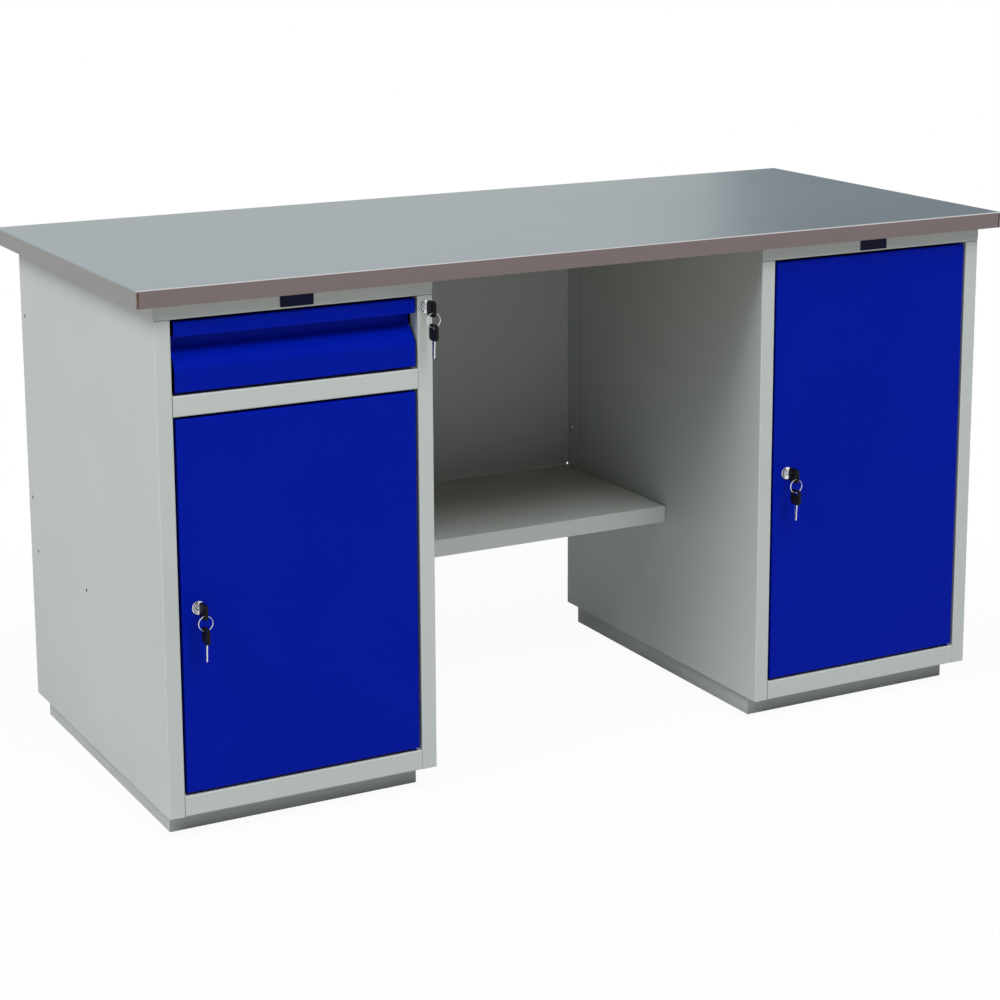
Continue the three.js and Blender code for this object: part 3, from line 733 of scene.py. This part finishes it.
class WORKBENCH_OT_knee(bpy.types.Operator):
    """Make the shelf and back panel between the pedestals, and their bolts"""

    bl_idname = "workbench.knee"
    bl_label = "Shelf and back panel"

    def execute(self, context):
        size = context.scene.bench_sizes
        dress("knee_shelf", size.sheet_edge)
        dress("knee_back_panel", size.sheet_edge)
        for part in ("panel", "shelf"):
            for side in SIDES:
                for number in ("1", "2"):
                    self.add_bolt("_".join(("knee", part, "bolt", side, number)), side, size)
        return {"FINISHED"}

    def add_bolt(self, node, side, size):
        """A bolt whose head is between the pedestals."""
        low, high, centre = box_of(node)
        head_x, turn = (low.x, -math.pi / 2) if side == "right" else (high.x, math.pi / 2)
        place = Matrix.Translation((head_x, centre.y, centre.z)) @ Matrix.Rotation(turn, 4, "Z")
        bolt = moved(turned(self.outline(high.x - low.x), size.bolt_steps), place)
        add_piece(node + "_turned", bolt, "bench", "zinc_steel", node)

    def outline(self, bolt_length):
        """A domed head with a round socket, the shank, and a nut near its end."""
        end = bolt_length / MM
        core = 0.2
        shank = 3.0
        head = 5.5
        head_height = 3.5
        socket_depth = 1.5
        nut = 5.2
        nut_end = end - 1.0
        nut_start = nut_end - 4.0
        socket = [(core, socket_depth), (1.6, socket_depth), (1.7, 0.1)]
        dome = [(2.6, 0.1), (4.0, 0.6), (5.0, 1.6), (head, 2.9), (head, head_height)]
        thread = [(shank, head_height), (shank, nut_start), (nut, nut_start), (nut, nut_end)]
        tip = [(shank, nut_end), (shank, end - 0.4), (2.6, end), (core, end)]
        return socket + dome + thread + tip


class WORKBENCH_OT_plates(bpy.types.Operator):
    """Make the bare plates on the top rails"""

    bl_idname = "workbench.plates"
    bl_label = "Rail plates"

    def execute(self, context):
        size = context.scene.bench_sizes
        for side in SIDES:
            add_piece(side + "_rail_plate", self.plate(side, size), "bench", "badge_plate", side + "_badge")
        return {"FINISHED"}

    def plate(self, side, size):
        """A plate with round corners, a soft edge and a raised rim."""
        low, high, centre = box_of(side + "_badge")
        bm = bmesh.new()
        bmesh.ops.create_cube(bm, size=1)
        bmesh.ops.scale(bm, verts=bm.verts, vec=high - low)
        bmesh.ops.translate(bm, verts=bm.verts, vec=centre)
        depth = high.y - low.y
        corners = [edge for edge in bm.edges if abs(edge.verts[0].co.y - edge.verts[1].co.y) > depth / 2]
        round_edges(bm, corners, size.plate_corner, 4)
        front = min(bm.faces, key=lambda face: face.calc_center_median().y)
        round_edges(bm, front.edges[:], size.plate_edge, 2)
        front = min(bm.faces, key=lambda face: face.calc_center_median().y - face.calc_area())
        bmesh.ops.inset_region(bm, faces=[front], thickness=size.plate_rim)
        bmesh.ops.inset_region(bm, faces=[front], thickness=size.plate_edge, depth=-size.plate_edge)
        return bm


class WORKBENCH_OT_stage(bpy.types.Operator):
    """Set the floor, the light and the camera"""

    bl_idname = "workbench.stage"
    bl_label = "Stage"

    picture_width = 1000
    picture_centre = (520, 340)
    focal_pixels = 2399.2
    sensor = 36
    camera_place = (-1.9503, -3.6129, 1.487)
    camera_angles = {"azimuth": -28.595, "elevation": 11.406, "roll": 0.154}
    floor_width = 80
    shadow_reach = (0.9, 1.5)
    shadow_whiteness = 0.95
    card_place = (10.75, 6.5, 4.0)
    card_size = (12, 9)
    surround_shade = (0.96, 0.98, 1.0)
    surround_strength = 0.18
    lamp_width = 4.0

    def execute(self, context):
        scene = context.scene
        scene.view_settings.view_transform = "Standard"
        tint = scene.bench_colours
        self.add_floor(scene, tuple(tint.floor))
        self.add_card(scene, tuple(tint.card))
        self.light_world(scene)
        self.add_lamp(scene, "side_light", (-5.85, -1.5, 6.5), watts=450)
        self.add_lamp(scene, "front_light", (0.37, -5.34, 8.08), watts=570)
        self.add_camera(scene)
        return {"FINISHED"}

    def add_sheet(self, scene, name, matrix, material):
        """A flat square of the stage."""
        bm = bmesh.new()
        bmesh.ops.create_grid(bm, x_segments=1, y_segments=1, size=0.5)
        mesh = bpy.data.meshes.new(name)
        moved(bm, matrix).to_mesh(mesh)
        bm.free()
        mesh.materials.append(material)
        sheet = bpy.data.objects.new(name, mesh)
        scene.collection.objects.link(sheet)
        return sheet

    def add_floor(self, scene, shade):
        """A pale floor that shows as white, with a trace of the shadow near the bench."""
        finish = Finish("floor_white")
        finish.set({"Base Color": shade, "Roughness": 0.9})
        white = finish.node("ShaderNodeEmission", {}, {"Color": (1, 1, 1), "Strength": 1.0})
        away = finish.node("ShaderNodeVectorMath", {"operation": "LENGTH"}, {0: finish.place}, "Value")
        near, far = self.shadow_reach
        whiteness = finish.seen() * finish.span(away, near, far, self.shadow_whiteness, 1.0)
        lit = Value(finish, finish.shader.outputs[0])
        finish.show(finish.node("ShaderNodeMixShader", {}, {0: whiteness, 1: lit, 2: white}))
        spread = Matrix.Diagonal((self.floor_width, self.floor_width, 1, 1))
        self.add_sheet(scene, "floor", spread, finish.material)

    def add_card(self, scene, shade):
        """A grey card behind on the right, which only shows as a reflection in the worktop."""
        finish = Finish("card_grey")
        finish.show(finish.node("ShaderNodeEmission", {}, {"Color": shade, "Strength": 1.0}))
        upright = Matrix.Rotation(math.pi / 2, 4, "X") @ Matrix.Diagonal((*self.card_size, 1, 1))
        place = Matrix.Translation(self.card_place)
        card = self.add_sheet(scene, "card", place @ upright, finish.material)
        card.visible_camera = False
        card.visible_diffuse = False
        card.visible_transmission = False
        card.visible_shadow = False

    def light_world(self, scene):
        """A soft surround that shows as white."""
        scene.world = bpy.data.worlds.new("surround")
        scene.world.use_nodes = True
        shading = Shading(scene.world.node_tree)
        dim = {"Color": self.surround_shade, "Strength": self.surround_strength}
        soft = shading.node("ShaderNodeBackground", {}, dim)
        white = shading.node("ShaderNodeBackground", {}, {"Color": (1, 1, 1), "Strength": 1.0})
        mixed = shading.node("ShaderNodeMixShader", {}, {0: shading.seen(), 1: soft, 2: white})
        shading.feed(shading.tree.nodes["World Output"].inputs["Surface"], mixed)

    def add_lamp(self, scene, name, place, watts):
        """A round soft lamp turned to the middle of the bench, which metal doesn't mirror."""
        lamp = bpy.data.lights.new(name, "AREA")
        lamp.shape = "DISK"
        lamp.size = self.lamp_width
        lamp.energy = watts
        middle = Vector((0, 0, (CAD_BOX[0][2] + CAD_BOX[1][2]) / 2))
        holder = bpy.data.objects.new(name, lamp)
        holder.location = place
        holder.visible_glossy = False
        holder.rotation_euler = (middle - Vector(place)).to_track_quat("-Z", "Y").to_euler()
        scene.collection.objects.link(holder)

    def add_camera(self, scene):
        """Looks from the front left and a little above, with a lens shifted to the picture's centre."""
        azimuth, elevation, roll = (math.radians(angle) for angle in self.camera_angles.values())
        level = math.cos(elevation)
        back = Vector((math.sin(azimuth) * level, -math.cos(azimuth) * level, math.sin(elevation)))
        camera = bpy.data.cameras.new("camera")
        camera.sensor_width = self.sensor
        camera.lens = self.focal_pixels * self.sensor / self.picture_width
        camera.shift_x = 0.5 - self.picture_centre[0] / self.picture_width
        camera.shift_y = self.picture_centre[1] / self.picture_width - 0.5
        holder = bpy.data.objects.new("camera", camera)
        turn = back.to_track_quat("Z", "Y") @ Matrix.Rotation(-roll, 3, "Z").to_quaternion()
        holder.rotation_euler = turn.to_euler()
        holder.location = self.camera_place
        scene.collection.objects.link(holder)
        scene.camera = holder


class WORKBENCH_PT_panel(bpy.types.Panel):
    """Lists the operators that make the workbench"""

    bl_idname = "WORKBENCH_PT_panel"
    bl_label = "Workbench"
    bl_space_type = "VIEW_3D"
    bl_region_type = "UI"
    bl_category = "Workbench"

    def draw(self, context):
        for operator in OPERATORS:
            self.layout.operator(operator.bl_idname)


OPERATORS = (
    WORKBENCH_OT_worktop,
    WORKBENCH_OT_pedestals,
    WORKBENCH_OT_doors,
    WORKBENCH_OT_drawer,
    WORKBENCH_OT_locks,
    WORKBENCH_OT_keys,
    WORKBENCH_OT_knee,
    WORKBENCH_OT_plates,
    WORKBENCH_OT_stage,
)
CLASSES = (BenchSizes, BenchColours, *OPERATORS, WORKBENCH_PT_panel)


def register():
    for kind in CLASSES:
        bpy.utils.register_class(kind)
    bpy.types.Scene.bench_sizes = PointerProperty(type=BenchSizes)
    bpy.types.Scene.bench_colours = PointerProperty(type=BenchColours)


def unregister():
    del bpy.types.Scene.bench_colours
    del bpy.types.Scene.bench_sizes
    for kind in reversed(CLASSES):
        bpy.utils.unregister_class(kind)


def main():
    register()
    make_finishes()
    bpy.ops.workbench.worktop()
    bpy.ops.workbench.pedestals()
    bpy.ops.workbench.doors()
    bpy.ops.workbench.drawer()
    bpy.ops.workbench.locks()
    bpy.ops.workbench.keys()
    bpy.ops.workbench.knee()
    bpy.ops.workbench.plates()
    bpy.ops.workbench.stage()


if __name__ == "__main__":
    main()
